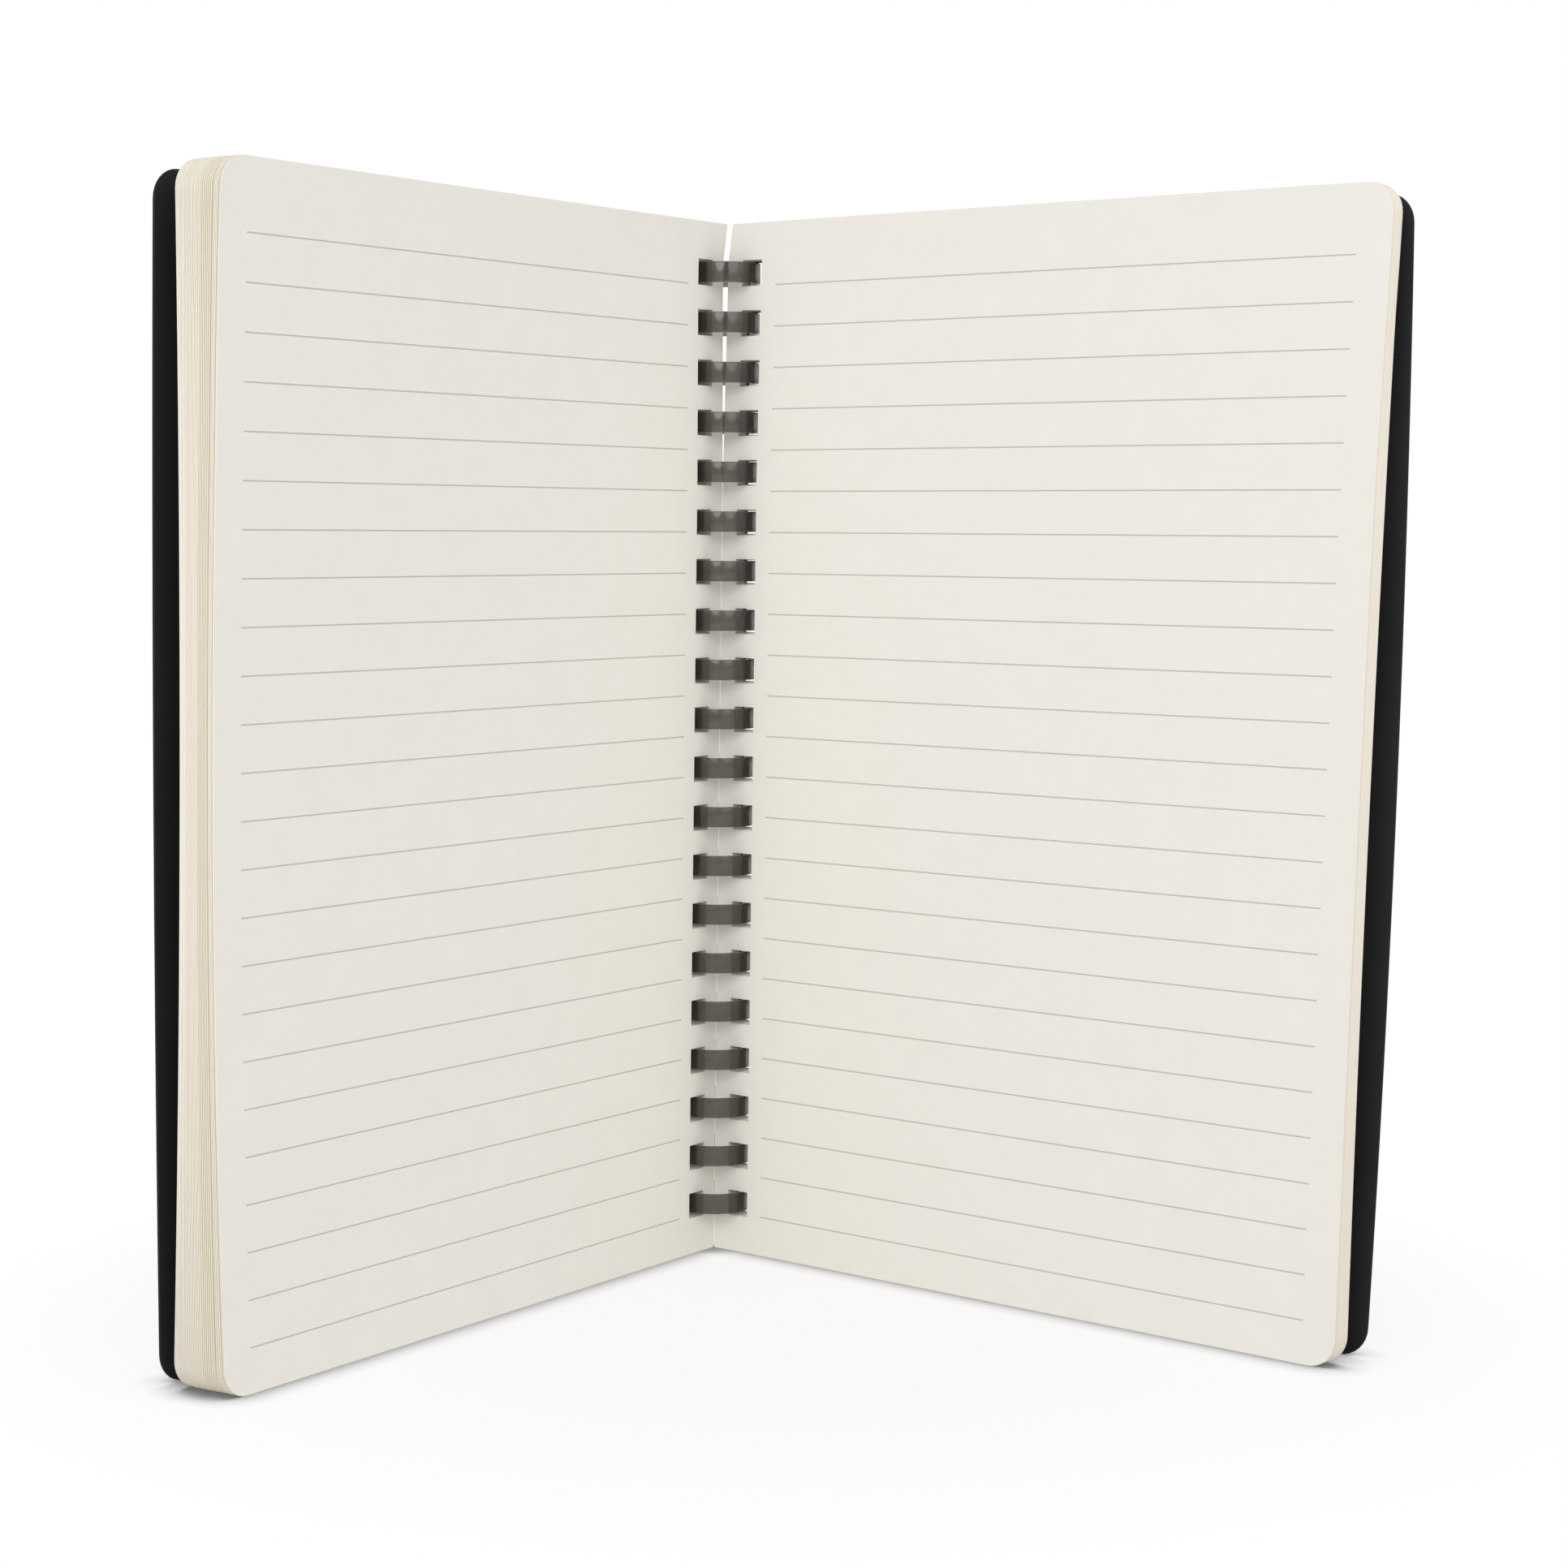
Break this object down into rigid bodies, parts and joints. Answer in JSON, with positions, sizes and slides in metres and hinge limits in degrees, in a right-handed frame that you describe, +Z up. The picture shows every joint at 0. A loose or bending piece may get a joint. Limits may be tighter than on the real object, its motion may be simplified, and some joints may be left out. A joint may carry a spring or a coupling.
{
  "type": "open spiral notebook",
  "caption": "Ruled notebook standing open on its edges, with rounded leaves and black covers on a row of flat smoky plastic binding rings.",
  "frame": {"origin": "middle of the object's bounding box in plan, on the surface that it stands on", "axes": "+Z up along the spine, -Y towards the reader who looks into the open pages, +X to the reader's right"},
  "size_m": [0.1856, 0.1136, 0.1778],
  "materials": {
    "smoky_plastic": "glossy, slightly see-through",
    "cream_paper": "matte",
    "black_cover": "matte, fine grain"
  },
  "bodies": {
    "binding": {"binding": "smoky_plastic"},
    "left_pages": {"left_pages": "cream_paper"},
    "right_pages": {"right_pages": "cream_paper"},
    "front_cover": {"front_cover": "black_cover"},
    "rear_cover": {"rear_cover": "black_cover"}
  },
  "joints": [
    {"name": "left_pages_turn", "type": "hinge", "parent": "binding", "child": "left_pages", "pos_m": [-0.01274, 0.05045, 0], "axis": [0, 0, -1], "range_deg": [-40.8, 58]},
    {"name": "front_cover_turn", "type": "hinge", "parent": "left_pages", "child": "front_cover", "pos_m": [-0.01274, 0.05045, 0], "axis": [0, 0, -1], "range_deg": [-1, 22]},
    {"name": "right_pages_turn", "type": "hinge", "parent": "binding", "child": "right_pages", "pos_m": [-0.01274, 0.05045, 0], "axis": [0, 0, 1], "range_deg": [-40.8, 40.5]},
    {"name": "rear_cover_turn", "type": "hinge", "parent": "right_pages", "child": "rear_cover", "pos_m": [-0.01274, 0.05045, 0], "axis": [0, 0, 1], "range_deg": [-1.5, 7.5]}
  ]
}
